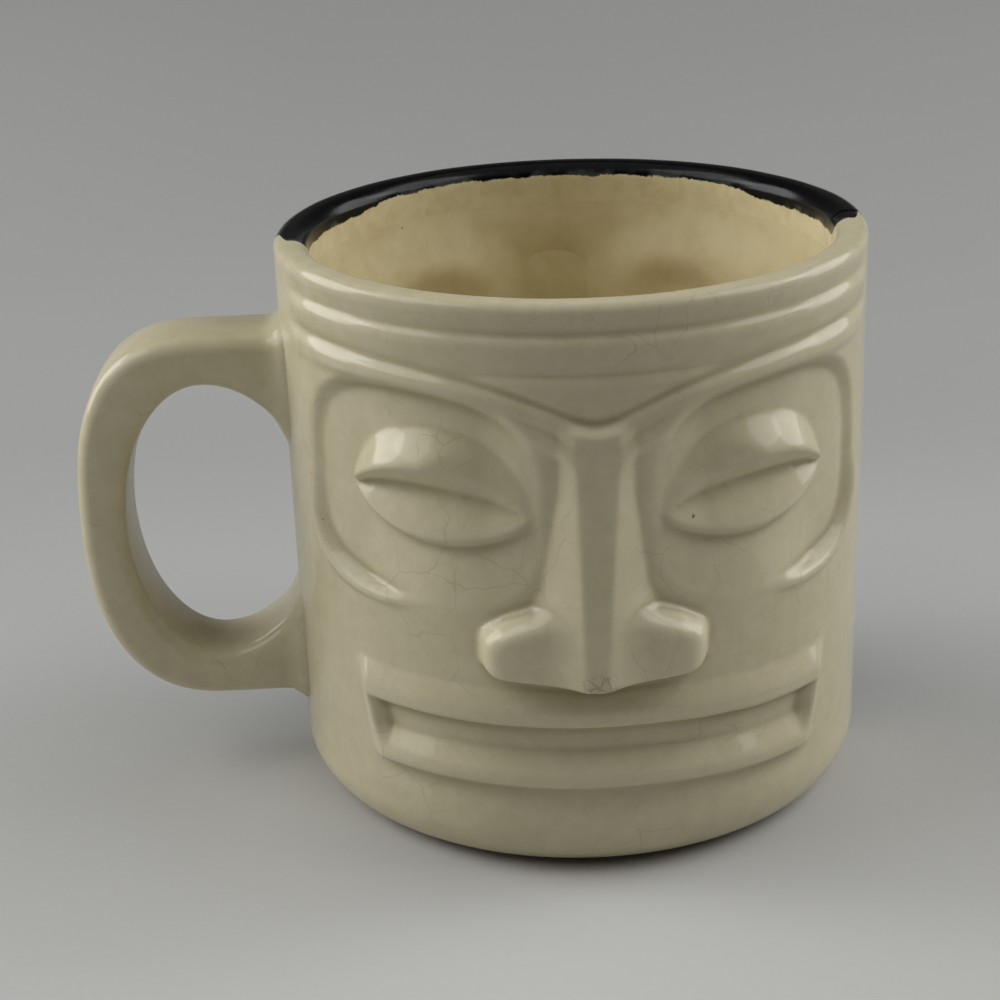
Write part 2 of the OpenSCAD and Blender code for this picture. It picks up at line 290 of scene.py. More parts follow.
def nose(u, z, out, wing_out):
    """A flat-fronted ridge that spreads at the foot into two squarish wings."""
    if z < NOSE_LOW - 0.6 or z > brow_line(u):
        return 0.0
    if z > NOSE_MID:
        half = blend(7.6, 5.4, line(NOSE_MID, 60, z))
    else:
        half = blend(11.0, 7.6, line(39, NOSE_MID, z))
    flat = blend(1.1, 2.9, line(NOSE_LOW, NOSE_TOP, z))
    height = blend(out, NOSE_ROOT, line(NOSE_TIP, NOSE_TOP, z))
    top = 1 - ramp(NOSE_TOP + 2.0, NOSE_TOP + 3.8, z)
    ridge = height * (1 - line(flat, half, u)) * top
    low = NOSE_LOW + 1.0 * line(2, 15, u) + 1.6 * ramp(12.5, WING_HALF, u)
    under = line(low - 0.4, low + 1.2, z) ** 0.5
    high = blend(WING_UP + 2.0, WING_UP - 0.6, line(6.5, 14, u))
    rise = max(0.0, (z - WING_Z) / high)
    reach = (u / WING_HALF) ** 6 + rise ** 2.6
    if reach >= 1:
        return ridge * under
    front = blend(0.60 * out, wing_out, line(flat, 11, u))
    return soft_max(ridge, front * ramp(0, 0.9, 1 - reach), 1.8) * under


def mouth(u, z, sag, out):
    """A frame of two lips round a hollow with slanted ends."""
    z += sag
    end = MOUTH_HALF - 0.24 * (LIP_TOP - z)
    ends = 1 - ramp(end - 3.2, end + 0.5, u)
    frame = line(LIP_TOP, LIP_SHOULDER, z) ** 0.9 * line(LIP_LOW - 0.5, LIP_LOW + 0.3, z)
    height = out * frame * ends - 0.3 * bump(z - 13.0, 2.6) * (1 - ramp(30, 42, u))
    if LIP_FRONT < z < MOUTH_TOP + 0.4:
        hollow = ramp(MOUTH_TOP + 0.4, MOUTH_TOP - 0.3, z) * (1 - line(MOUTH_LOW, LIP_FRONT, z))
        inside = MOUTH_END - 0.30 * (MOUTH_TOP - z)
        height -= (out + MOUTH_DEEP) * hollow * (1 - line(inside - 2.3, inside, u))
    return height


def face_height(u_signed, z, form):
    """How far the face stands out from the plain wall, in millimetres."""
    u = abs(u_signed)
    if u > STRIP_U + STRIP_FADE or z > BAND_TOP or z < 9:
        return 0.0
    fade = 1 - ramp(STRIP_U, STRIP_U + STRIP_FADE, u)
    if z > brow_line(u):
        return fade * headband(u, z, form.band_deep)
    reach = socket_reach(u, z)
    sag = MOUTH_SAG * ramp(4, 34, u_signed)
    lean = NOSE_LEAN * line(NOSE_TOP, NOSE_TIP, z)
    return fade * (
        socket(u, z, reach, form.socket_deep)
        + eye(u, z, form.lid_out)
        + brow(u, z, form.band_deep, form.brow_out)
        + mouth(u, z, sag, form.lip_out)
        + cheek_ridge(u, z, reach)
        + nose(abs(u_signed - lean), z, form.nose_out, form.wing_out)
    )


class HeightMap:
    """The face sampled on a grid, with a blurred copy, for what only needs its broad shape."""

    STEP = 0.9
    HALF = 60.0

    def __init__(self, form):
        self.rows = int(LAYOUT_H / self.STEP) + 2
        self.cols = int(2 * self.HALF / self.STEP) + 2
        self.fine = [
            [face_height(c * self.STEP - self.HALF, r * self.STEP, form) for c in range(self.cols)]
            for r in range(self.rows)
        ]
        self.near = self.blurred(self.fine, 2)
        self.broad = self.blurred(self.blurred(self.fine, 3), 2)

    def blurred(self, grid, reach):
        across = [self.run(row, reach) for row in grid]
        down = [self.run(list(col), reach) for col in zip(*across)]
        return [list(row) for row in zip(*down)]

    @staticmethod
    def run(values, reach):
        count = 2 * reach + 1
        padded = [values[0]] * reach + values + [values[-1]] * reach
        return [sum(padded[i:i + count]) / count for i in range(len(values))]

    def sample(self, grid, u, z):
        x = min(max((u + self.HALF) / self.STEP, 0.0), self.cols - 1.001)
        y = min(max(z / self.STEP, 0.0), self.rows - 1.001)
        c, r = int(x), int(y)
        low = blend(grid[r][c], grid[r][c + 1], x - c)
        high = blend(grid[r + 1][c], grid[r + 1][c + 1], x - c)
        return blend(low, high, y - r)


# ---- settings ----

class MugForm(bpy.types.PropertyGroup):
    """Sizes of the cup and of its moulded face."""

    rim_r: FloatProperty(
        name="Rim radius", description="Outer radius at the rim",
        default=FACE_BOX[1][0], unit="LENGTH")
    height: FloatProperty(
        name="Height", description="From the table to the top of the rim",
        default=FACE_BOX[1][2], unit="LENGTH")
    glaze_line: FloatProperty(
        name="Glaze line", description="Height where the outer glaze stops",
        default=FACE_BOX[0][2], unit="LENGTH")
    taper: FloatProperty(
        name="Taper", description="How much smaller the radius is at the table",
        default=0.5 * MM, unit="LENGTH")
    base_round: FloatProperty(
        name="Base rounding", description="Radius of the rounded base edge",
        default=8 * MM, unit="LENGTH")
    layer: FloatProperty(
        name="Layer", description="Thickness of a face layer where it is plain",
        default=2.6 * MM, unit="LENGTH")
    clay_in_r: FloatProperty(
        name="Clay inner radius", description="Inner radius of the clay under the liner",
        default=LINER_BOX[1][0], unit="LENGTH")
    liner: FloatProperty(
        name="Liner", description="Thickness of the liner glaze",
        default=0.4 * MM, unit="LENGTH")
    floor: FloatProperty(
        name="Floor", description="Height of the inside floor",
        default=LINER_BOX[0][2] + 0.4 * MM, unit="LENGTH")
    floor_round: FloatProperty(
        name="Floor rounding", description="Radius between the inner wall and the floor",
        default=7 * MM, unit="LENGTH")
    band_low: FloatProperty(
        name="Inner band", description="Height where the face layers stop inside the rim",
        default=LINER_BOX[1][2], unit="LENGTH")
    clay_top: FloatProperty(
        name="Clay top", description="Height of the clay cup under the rim",
        default=CUP_BOX[1][2], unit="LENGTH")
    recess_r: FloatProperty(
        name="Foot recess radius", description="Radius of the recess inside the foot ring",
        default=30 * MM, unit="LENGTH")
    recess: FloatProperty(
        name="Foot recess depth", description="Depth of the recess inside the foot ring",
        default=1.6 * MM, unit="LENGTH")
    columns: IntProperty(
        name="Columns", description="Steps round half the mug", default=300, min=60)
    softening: IntProperty(
        name="Softening", description="Smoothing passes over the moulded face", default=1, min=0)
    nose_out: FloatProperty(
        name="Nose", description="How far the nose stands out, in millimetres", default=6.5)
    wing_out: FloatProperty(
        name="Nose wings", description="How far the wings stand out, in millimetres", default=4.2)
    lip_out: FloatProperty(
        name="Lips", description="How far the lips stand out, in millimetres", default=1.5)
    brow_out: FloatProperty(
        name="Brow", description="How far the brow ridge stands out, in millimetres", default=0.62)
    socket_deep: FloatProperty(
        name="Sockets", description="Depth of the eye sockets, in millimetres", default=1.9)
    lid_out: FloatProperty(
        name="Lids", description="How far the lids stand out, in millimetres", default=3.3)
    band_deep: FloatProperty(
        name="Band grooves", description="Depth of the headband grooves, in millimetres", default=0.62)


class HandleForm(bpy.types.PropertyGroup):
    """Sizes of the strap handle."""

    reach: FloatProperty(
        name="Reach", description="From the axis to the handle's outside",
        default=-STRAP_BOX[0][0], unit="LENGTH")
    low: FloatProperty(
        name="Underside", description="Height of the handle's underside",
        default=STRAP_BOX[0][2], unit="LENGTH")
    high: FloatProperty(
        name="Top", description="Height of the handle's top",
        default=STRAP_BOX[1][2], unit="LENGTH")
    depth: FloatProperty(
        name="Depth", description="Depth of the strap, front to back",
        default=STRAP_BOX[1][1] - STRAP_BOX[0][1], unit="LENGTH")
    thick: FloatProperty(
        name="Thickness", description="Thickness of the strap at its outside",
        default=6.9 * MM, unit="LENGTH")
    edge: FloatProperty(
        name="Edge radius", description="Radius of the strap's long edges",
        default=2.5 * MM, unit="LENGTH")
    gap_mid: FloatProperty(
        name="Gap middle", description="From the rim's radius to the middle of the finger gap",
        default=12 * MM, unit="LENGTH")
    flare: FloatProperty(
        name="Flare", description="Half width of the gap's arc beside the wall",
        default=15.5 * MM, unit="LENGTH")
    fillet: FloatProperty(
        name="Root fillet", description="Radius of the joint with the wall",
        default=1.6 * MM, unit="LENGTH")


class GlazeColours(bpy.types.PropertyGroup):
    """Colours of the clay and the glazes."""

    ivory: FloatVectorProperty(
        name="Ivory", description="Ivory glaze", subtype="COLOR", default=(0.60, 0.54, 0.352))
    # lighter ivory: random mottle, and painted highlight on the face's ridges
    ivory_mottle_and_highlight: FloatVectorProperty(
        name="Thin ivory", description="Ivory glaze where it runs thin over an edge",
        subtype="COLOR", default=(0.655, 0.59, 0.40))
    # darker ivory: random mottle on the handle, painted shade in the face's grooves
    ivory_mottle_and_shade: FloatVectorProperty(
        name="Pooled ivory", description="Ivory glaze where it lies thick in a groove",
        subtype="COLOR", default=(0.42, 0.365, 0.205))
    black: FloatVectorProperty(
        name="Black", description="Black glaze", subtype="COLOR", default=(0.0025, 0.0025, 0.0035))
    fringe: FloatVectorProperty(
        name="Fringe", description="Black glaze where it thins to a blue-grey edge",
        subtype="COLOR", default=(0.075, 0.082, 0.08))
    tan: FloatVectorProperty(
        name="Liner", description="Tan liner glaze", subtype="COLOR", default=(0.75, 0.66, 0.415))
    # darker tan: random mottle, and painted shade in the hollows of the inner wall
    tan_mottle_and_shade: FloatVectorProperty(
        name="Pooled liner", description="Liner glaze where it lies thick",
        subtype="COLOR", default=(0.56, 0.445, 0.225))
    clay: FloatVectorProperty(
        name="Clay", description="Bare clay at the foot", subtype="COLOR",
        default=(0.52, 0.41, 0.28))
    stain: FloatVectorProperty(
        name="Stain", description="Tea-brown stain in the cracks", subtype="COLOR",
        default=(0.16, 0.105, 0.045))


class StudioForm(bpy.types.PropertyGroup):
    """Camera and sweep."""

    lens: FloatProperty(
        name="Lens", description="Focal length", default=79.2, unit="CAMERA")
    distance: FloatProperty(
        name="Distance", description="From the camera to its aim", default=343.5 * MM, unit="LENGTH")
    elevation: FloatProperty(
        name="Elevation", description="Camera's height as an angle",
        default=math.radians(21.283), subtype="ANGLE")
    azimuth: FloatProperty(
        name="Azimuth", description="Camera's turn from the face, towards the handle",
        default=math.radians(1.95), subtype="ANGLE")
    roll: FloatProperty(
        name="Roll", description="Camera's roll", default=math.radians(-1.92), subtype="ANGLE")
    aim: FloatVectorProperty(
        name="Aim", description="Point that the camera looks at",
        default=(-11.72 * MM, 0.4 * MM, 42.24 * MM), subtype="TRANSLATION")
    sweep: FloatVectorProperty(
        name="Sweep", description="Colour of the backdrop", subtype="COLOR",
        default=(0.58, 0.58, 0.565))


# ---- mesh helpers ----

def new_piece(name, bm, materials):
    """Turns a bmesh into a smooth-shaded object at the origin."""
    mesh = bpy.data.meshes.new(name)
    bm.to_mesh(mesh)
    bm.free()
    for material in materials:
        mesh.materials.append(material)
    mesh.polygons.foreach_set("use_smooth", [True] * len(mesh.polygons))
    piece = bpy.data.objects.new(name, mesh)
    bpy.context.scene.collection.objects.link(piece)
    return piece


def arc(cx, cz, r, start, end, steps):
    angles = [math.radians(start + (end - start) * i / steps) for i in range(steps + 1)]
    return [(cx + r * math.cos(a), cz + r * math.sin(a)) for a in angles]


def chain(bm, points, closed):
    """A profile in the XZ plane, as vertices joined by edges."""
    verts = [bm.verts.new((x, 0.0, z)) for x, z in points]
    ends = verts[1:] + verts[:1] if closed else verts[1:]
    edges = [bm.edges.new(pair) for pair in zip(verts, ends)]
    return verts, edges


def spin_full(bm, points, steps):
    """A closed solid of revolution from a profile that starts and ends on the axis."""
    verts, edges = chain(bm, points, closed=False)
    bmesh.ops.spin(
        bm, geom=verts + edges, cent=(0, 0, 0), axis=(0, 0, 1), dvec=(0, 0, 0),
        angle=2 * math.pi, steps=steps, use_merge=True)
    bmesh.ops.remove_doubles(bm, verts=bm.verts, dist=1e-6)
    bmesh.ops.recalc_face_normals(bm, faces=bm.faces)


def skin_r(form, z):
    """Radius of the plain outer wall at height z."""
    r = form.rim_r - form.taper * (1 - z / form.height)
    if z < form.base_round:
        r += math.sqrt(form.base_round ** 2 - (form.base_round - z) ** 2) - form.base_round
    return r


def hand_wobble(place):
    """Slow unevenness of a slip-cast wall, in metres."""
    slow = noise.noise(place * 28.0)
    quick = noise.noise(place * 110.0)
    return (0.10 * slow + 0.035 * quick) * MM


def wall_wave(form, heights, angle, z):
    """How far the inner wall follows the moulded face, in metres; angle 0 is the ivory face."""
    turned = (angle + math.pi / 2) % math.pi - math.pi / 2
    depth = heights.sample(heights.broad, turned * LAYOUT_R, z / MM - WAVE_LIFT)
    fade = 1 - ramp(form.band_low - 3 * MM, form.band_low + 3 * MM, z)
    depth = min(WAVE_OUT, max(-WAVE_IN, depth))
    return fade * ramp(form.floor + 4 * MM, form.floor + 14 * MM, z) * depth * MM


# ---- shader graph ----

class Wire:
    """A shader socket that takes part in arithmetic."""

    def __init__(self, graph, socket):
        self.graph = graph
        self.socket = socket

    def __add__(self, other):
        return self.graph.maths("ADD", self, other)

    def __radd__(self, other):
        return self.graph.maths("ADD", other, self)

    def __sub__(self, other):
        return self.graph.maths("SUBTRACT", self, other)

    def __rsub__(self, other):
        return self.graph.maths("SUBTRACT", other, self)

    def __mul__(self, other):
        return self.graph.maths("MULTIPLY", self, other)

    def __rmul__(self, other):
        return self.graph.maths("MULTIPLY", other, self)

    def __truediv__(self, other):
        return self.graph.maths("DIVIDE", self, other)


class Graph:
    """The node tree of one material, with the mug's shared patterns."""

    def __init__(self, name):
        self.material = bpy.data.materials.new(name)
        self.material.use_nodes = True
        self.tree = self.material.node_tree
        self.tree.nodes.clear()
        output = self.tree.nodes.new("ShaderNodeOutputMaterial")
        self.shader = self.tree.nodes.new("ShaderNodeBsdfPrincipled")
        self.tree.links.new(self.shader.outputs["BSDF"], output.inputs["Surface"])
        place = self.add("ShaderNodeTexCoord", {}, {}, "Object")
        self.place = self.add("ShaderNodeVectorMath", {"operation": "SCALE"},
                              {0: place, "Scale": 1 / MM})
        self.x, self.y, self.z = (
            self.add("ShaderNodeSeparateXYZ", {}, {0: self.place}, axis) for axis in range(3))
        self.r = self.maths("SQRT", self.x * self.x + self.y * self.y)

    def add(self, kind, settings, inputs, output=0):
        """One node: settings first, then socket values or links; returns one of its outputs."""
        node = self.tree.nodes.new(kind)
        for key, value in settings.items():
            setattr(node, key, value)
        for key, value in inputs.items():
            self.feed(node.inputs[key], value)
        return Wire(self, node.outputs[output])

    def maths(self, operation, *values):
        return self.add("ShaderNodeMath", {"operation": operation}, dict(enumerate(values)))

    def feed(self, socket, value):
        if isinstance(value, Wire):
            self.tree.links.new(value.socket, socket)
        elif socket.type == "RGBA":
            socket.default_value = (*value, 1.0) if len(value) == 3 else value
        else:
            socket.default_value = value

    def set(self, **values):
        """Feeds the shader's own sockets, named with underscores for spaces."""
        for key, value in values.items():
            self.feed(self.shader.inputs[key.replace("_", " ")], value)

    def mix(self, factor, a, b):
        return self.add("ShaderNodeMix", {"data_type": "RGBA", "clamp_factor": True},
                        {0: factor, 6: a, 7: b}, 2)

    def step(self, value, low, high):
        """0 below low, 1 above high, eased between; works with low over high."""
        return self.add("ShaderNodeMapRange", {"interpolation_type": "SMOOTHSTEP"},
                        {"Value": value, "From Min": low, "From Max": high})

    def noise(self, scale, detail=2.0, rough=0.5, shift=(0, 0, 0), vector=None):
        place = self.add("ShaderNodeVectorMath", {"operation": "ADD"},
                         {0: vector or self.place, 1: shift})
        return self.add("ShaderNodeTexNoise", {},
                        {"Vector": place, "Scale": scale, "Detail": detail, "Roughness": rough})

    def cells(self, scale, feature, vector=None):
        return self.add("ShaderNodeTexVoronoi", {"feature": feature},
                        {"Vector": vector or self.place, "Scale": scale}, "Distance")

    def attribute(self, name):
        return self.add("ShaderNodeAttribute", {"attribute_name": name}, {}, "Fac")

    def warped(self, scale, amount):
        """The place pushed about by noise, so that cells don't look drawn."""
        push = self.add("ShaderNodeTexNoise", {},
                        {"Vector": self.place, "Scale": scale, "Detail": 2.0}, "Color")
        centred = self.add("ShaderNodeVectorMath", {"operation": "SUBTRACT"},
                           {0: push, 1: (0.5, 0.5, 0.5)})
        return self.add("ShaderNodeVectorMath", {"operation": "MULTIPLY_ADD"},
                        {0: centred, 1: (amount, amount, amount), 2: self.place})

    def spot(self, centre, radius):
        """1 inside a small ragged spot at a place in millimetres."""
        away = self.add("ShaderNodeVectorMath", {"operation": "DISTANCE"},
                        {0: self.place, 1: centre}, "Value")
        ragged = away + self.noise(2.2, 2.0) * radius - 0.5 * radius
        return self.step(ragged, radius, 0.55 * radius)

    def cracks(self, cell, width, warp=0.35):
        """Fine crack lines: 1 on a line, 0 off it. Cell and width are in millimetres."""
        lines = self.cells(1 / cell, "DISTANCE_TO_EDGE", self.warped(1.4 / cell, warp * cell))
        return self.step(lines, width / cell, 0.25 * width / cell)

    def bump(self, height, distance):
        """A normal from heights of 0 to 1, distance metres high."""
        return self.add("ShaderNodeBump", {}, {"Strength": 1.0, "Distance": distance, "Height": height})


def any_of(*masks):
    total = masks[0]
    for mask in masks[1:]:
        total = total.graph.maths("MAXIMUM", total, mask)
    return total


def face_point(u, z, out=0.0):
    """A point on the ivory face, in millimetres."""
    angle = u / LAYOUT_R
    r = LAYOUT_R - 0.3 + out
    return (r * math.sin(angle), -r * math.cos(angle), z)


def ivory_marks(g):
    """Pits and iron specks that sit at their own places on the ivory face."""
    pit = g.spot(face_point(13.6, 55.0), 0.55)
    specks = any_of(
        g.spot(face_point(-37.0, 41.2), 0.30),
        g.spot(face_point(38.0, 43.7), 0.28),
        g.spot(face_point(25.5, 70.3), 0.26),
    )
    scattered = g.step(g.cells(0.16, "F1"), 0.035, 0.018) * g.step(g.noise(0.11), 0.56, 0.62)
    return any_of(pit, specks, scattered * 0.6)


def glaze_graph(name, colours, is_handle):
    """Ivory glaze at the front, black at the back, with a ragged edge between them."""
    g = Graph(name)
    slow = g.noise(0.05, 3.0)
    patch = g.noise(0.35, 4.0, 0.6)
    ragged = g.noise(0.30, 4.0, 0.6, shift=(7, 3, 1)) - 0.5
    jagged = g.noise(1.7, 3.0, 0.6) - 0.5

    # ivory: mottled all over; on the face, painted highlight on the ridges and painted shade in the
    # grooves
    mottle = g.step(patch * 0.6 + slow * 0.4, 0.36, 0.66)
    ivory = g.mix(mottle, colours.ivory, colours.ivory_mottle_and_highlight)
    if is_handle:
        ivory = g.mix(g.step(slow, 0.55, 0.75) * 0.35, ivory, colours.ivory_mottle_and_shade)
    else:
        painted_relief_shade = g.attribute("painted_relief_shade")
        # painted shade: darker ivory in the grooves and hollows of the face
        ivory = g.mix(g.step(painted_relief_shade, 0.04, 0.75) * 0.8, ivory, colours.ivory_mottle_and_shade)
        # painted highlight: lighter ivory on the ridges of the face
        ivory = g.mix(g.step(painted_relief_shade, -0.05, -0.7) * 0.5, ivory, colours.ivory_mottle_and_highlight)

    # crackle: a faint close net, and longer cracks that took up stain in places
    net = g.cracks(2.3, 0.10) * g.step(g.noise(0.13, 2.0, shift=(4, 9, 2)), 0.42, 0.70)
    long = g.cracks(7.5, 0.16, 0.5) * g.step(g.noise(0.07, 2.0, shift=(1, 5, 8)), 0.50, 0.66)
    crackle = any_of(net * 0.08, long * 0.17)
    marks = ivory_marks(g)
    if not is_handle:
        tip = g.spot(face_point(-0.5, 33.0, 6.0), 3.2)
        crackle = any_of(crackle, g.cracks(1.5, 0.20, 0.5) * tip * 0.42, tip * 0.08)
    ivory = g.mix(crackle, ivory, colours.stain)
    ivory = g.mix(marks, ivory, IRON)

    # black over ivory: the edge wanders, and thins to a blue-grey fringe
    if is_handle:
        edge = g.y - 6.9 + ragged * 1.0 + jagged * 0.5 + g.step(g.x, -58.0, -46.0) * 0.9
        fringe_wide = 0.35
    else:
        lip = g.step(g.r, 43.6, 42.0) * g.step(g.z, 82.0, 84.5)
        edge = g.y + lip * 5.0 - 0.4 + ragged * 2.2 + jagged * 0.9
        fringe_wide = 1.5
    is_black = g.step(edge, -0.12, 0.30)
    fringe = g.step(edge, fringe_wide, 0.1) * g.step(g.noise(0.22, 2.0, shift=(2, 2, 6)), 0.42, 0.6)
    black = g.mix(g.step(patch, 0.45, 0.75) * 0.5, colours.black, BLACK_CLOUD)
    black = g.mix(fringe * 0.75, black, colours.fringe)
    if not is_handle:
        # painted highlight: a lighter, brownish black on the ridges of the black face
        black = g.mix(g.step(painted_relief_shade, -0.12, -0.75) * 0.28, black, BLACK_RIDGE_HIGHLIGHT)
    colour = g.mix(is_black, ivory, black)

    # inside the rim the tan liner takes over
    if not is_handle:
        inside, fringe_in = liner_mask(g, ragged, jagged)
        colour = g.mix(fringe_in * is_black, colour, colours.fringe)
        tan = g.mix(g.step(patch, 0.35, 0.7) * 0.4, colours.tan, colours.tan_mottle_and_shade)
        colour = g.mix(inside, colour, tan)

    pits = g.step(g.cells(0.75, "F1"), 0.10, 0.03)
    pits = pits * g.step(g.noise(0.3, 1.0, shift=(5, 1, 1)), 0.52, 0.6)
    peel = g.noise(0.9, 2.0) * 0.6 + g.noise(0.16, 1.0) * 1.6
    height = peel - pits * 0.9 - crackle * 0.5 * (1 - is_black) - marks * 2.0 * (1 - is_black)
    rough = 0.34 + patch * 0.10 + crackle * 0.15 * (1 - is_black) - is_black * 0.20
    g.set(Base_Color=colour, Roughness=rough, Coat_Weight=0.45 * (1 - is_black),
          Normal=g.bump(height, 0.035 * MM))
    g.shader.inputs["IOR"].default_value = 1.29
    g.shader.inputs["Coat Roughness"].default_value = 0.07
    return g.material


def liner_mask(g, ragged, jagged):
    """Where the tan liner shows on the inner side of the rim, and the fringe of black above it."""
    aside = g.maths("ABSOLUTE", g.x)
    top = 84.35 - 1.3 * g.step(aside, 25.0, 33.0) + ragged * 1.6 + jagged * 0.6
    side = g.step(g.r, 41.4, 40.9)
    front = g.step(g.y, -3.0, -7.0)
    low = g.z - top + front * 1.0
    inside = g.step(low, 0.12, -0.12) * side
    fringe = g.step(low, 1.3, 0.1) * side * g.step(g.noise(0.16, 2.0, shift=(3, 8, 5)), 0.46, 0.60)
    return inside, fringe * 0.8


def liner_material(colours):
    """Tan glaze over clay: glossy, mottled, with painted shade in the hollows of the wall and a few
    pinholes.
    """
    g = Graph("tan_liner_glaze")
    patch = g.noise(0.22, 4.0, 0.6)
    slow = g.noise(0.045, 2.0)
    painted_relief_shade = g.attribute("painted_relief_shade")
    tan = g.mix(g.step(slow * 0.5 + patch * 0.5, 0.40, 0.66) * 0.45, colours.tan, colours.tan_mottle_and_shade)
    # painted shade: darker tan where the inner wall sinks into a hollow
    tan = g.mix(g.step(painted_relief_shade, 0.15, 1.0) * 0.9, tan, colours.tan_mottle_and_shade)
    streak = g.noise(0.5, 3.0, 0.6, vector=g.add(
        "ShaderNodeVectorMath", {"operation": "MULTIPLY"}, {0: g.place, 1: (1, 1, 0.12)}))
    tan = g.mix(g.step(streak, 0.55, 0.75) * 0.18, tan, colours.ivory)
    pins = g.step(g.cells(0.14, "F1"), 0.03, 0.012)
    tan = g.mix(pins * 0.8, tan, PINHOLE)
    height = g.noise(0.5, 2.0) * 0.8 + g.noise(0.1, 1.0) * 2.4 - pins * 1.5
    g.set(Base_Color=tan, Roughness=0.16 + patch * 0.10, Normal=g.bump(height, 0.05 * MM))
    g.shader.inputs["IOR"].default_value = 1.5
    g.shader.inputs["Coat Weight"].default_value = 0.25
    g.shader.inputs["Coat Roughness"].default_value = 0.05
    return g.material


def clay_material(colours):
    """Bare buff clay: sandy, matt, with grog, iron specks and a scuffed foot."""
    g = Graph("bare_buff_clay")
    grain = g.noise(2.6, 5.0, 0.7)
    slow = g.noise(0.12, 3.0)
    scuff = g.noise(0.9, 4.0, 0.7, vector=g.add(
        "ShaderNodeVectorMath", {"operation": "MULTIPLY"}, {0: g.place, 1: (0.4, 1.6, 1.0)}))
    clay = g.mix(g.step(slow, 0.35, 0.65) * 0.5, colours.clay, CLAY_DARK)
    clay = g.mix(g.step(grain, 0.45, 0.75) * 0.45, clay, CLAY_SAND)
    specks = g.step(g.cells(0.55, "F1"), 0.16, 0.08)
    specks = specks * g.step(g.noise(0.5, 1.0, shift=(6, 2, 9)), 0.5, 0.6)
    clay = g.mix(specks * 0.7, clay, CLAY_IRON)
    touch = g.step(g.z, 0.35, 0.02)
    clay = g.mix(touch * g.step(scuff, 0.4, 0.7) * 0.5, clay, FOOT_SCUFF)
    height = grain * 1.4 + scuff * 0.5 - specks * 0.6
    g.set(Base_Color=clay, Roughness=0.78 + grain * 0.14, Normal=g.bump(height, 0.12 * MM))
    return g.material


# painted shade on the paper, as grades: axis, where it starts and ends in millimetres, and what is left of
# the colour
PAPER_SHADE_GRADES = (
    ("y", -60.0, 170.0, 0.66),
    ("y", 200.0, 600.0, 0.80),
    ("y", -130.0, -420.0, 0.55),
    ("z", 30.0, 260.0, 0.12),
)


def sweep_material(colour):
    """Matt grey paper, with painted shade: darker behind the mug, up the backdrop and towards the front
    edge.
    """
    g = Graph("grey_sweep_painted_shade")
    fibre = g.noise(0.9, 4.0, 0.6)
    cloud = g.noise(0.004, 2.0)
    darker = tuple(0.95 * c for c in colour)
    paper = g.mix(g.step(fibre * 0.3 + cloud * 0.7, 0.35, 0.65), colour, darker)
    for axis, start, end, share in PAPER_SHADE_GRADES:
        # painted shade: each grade darkens the paper along its axis
        left = 1 - (1 - share) * g.step(getattr(g, axis), start, end)
        paper = g.add("ShaderNodeVectorMath", {"operation": "SCALE"}, {0: paper, "Scale": left})
    g.set(Base_Color=paper, Roughness=0.85 + fibre * 0.1, Normal=g.bump(fibre, 0.03 * MM))
    return g.material


# ---- pieces ----

def face_profile(form):
    """The closed outline of a face layer: skin from the foot up, over the rim, back down the clay."""
    cavity = form.clay_in_r - form.liner
    clay_out = form.rim_r - form.taper - form.layer
    rows = round((BAND_TOP * MM - form.base_round) / ROW_STEP)
    skin = [form.glaze_line + (form.base_round - form.glaze_line) * i / 14 for i in range(14)]
    skin += [form.base_round + (BAND_TOP * MM - form.base_round) * i / rows for i in range(rows + 1)]
    outer = [(skin_r(form, z), z) for z in skin]
    rim = arc(form.rim_r - RIM_ROUND_OUT, form.height - RIM_ROUND_OUT, RIM_ROUND_OUT, 8, 90, 9)
    top = form.height - RIM_ROUND_IN
    rim += arc(cavity + RIM_ROUND_IN, top, RIM_ROUND_IN, 90, 180, 10)
    band = [(cavity, top + (form.band_low - top) * i / 8) for i in range(1, 9)]
    ledge = form.rim_r - form.taper - form.base_round + LEDGE_IN
    clay = [
        (form.clay_in_r, form.band_low), (form.clay_in_r, form.clay_top),
        (clay_out, form.clay_top), (clay_out, form.base_round + LEDGE_UP), (ledge, form.glaze_line),
    ]
    return outer + rim + band + clay


def sharpen(bm, angle):
    """Marks edges sharper than an angle, in degrees, so that corners don't smear the shading."""
    for edge in bm.edges:
        if len(edge.link_faces) == 2 and edge.calc_face_angle() > math.radians(angle):
            edge.smooth = False


